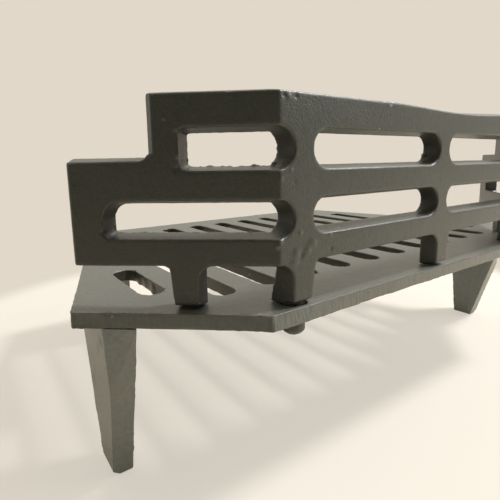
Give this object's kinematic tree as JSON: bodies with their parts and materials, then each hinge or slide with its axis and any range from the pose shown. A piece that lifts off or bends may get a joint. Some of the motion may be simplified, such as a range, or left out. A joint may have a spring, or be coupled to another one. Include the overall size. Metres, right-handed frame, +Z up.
{
  "type": "log grate",
  "caption": "Cast-iron fireplace log grate: a slotted six-sided bed on tapered blade legs, with a loose windowed front guard that lifts off.",
  "frame": {"origin": "middle of the footprint, on the surface that the legs stand on", "axes": "+Z up, +X along the front panel to the right as seen from the front, -Y towards the front, which faces the room"},
  "size_m": [0.432, 0.288, 0.2037],
  "materials": {
    "bed_iron": "sand-cast iron under satin black stove paint",
    "guard_iron": "sand-cast iron under satin black stove paint"
  },
  "bodies": {
    "grate_bed": {"bed_plate": "bed_iron", "front_left_leg": "bed_iron", "front_right_leg": "bed_iron", "back_left_leg": "bed_iron", "back_right_leg": "bed_iron"},
    "guard": {"front_panel": "guard_iron", "left_wing": "guard_iron", "right_wing": "guard_iron", "centre_foot": "guard_iron", "left_corner_foot": "guard_iron", "right_corner_foot": "guard_iron", "left_wing_foot": "guard_iron", "right_wing_foot": "guard_iron"}
  },
  "joints": [
    {"name": "guard_lift", "type": "slide", "parent": "grate_bed", "child": "guard", "axis": [0, 0, 1], "range_m": [0, 0.12]}
  ]
}
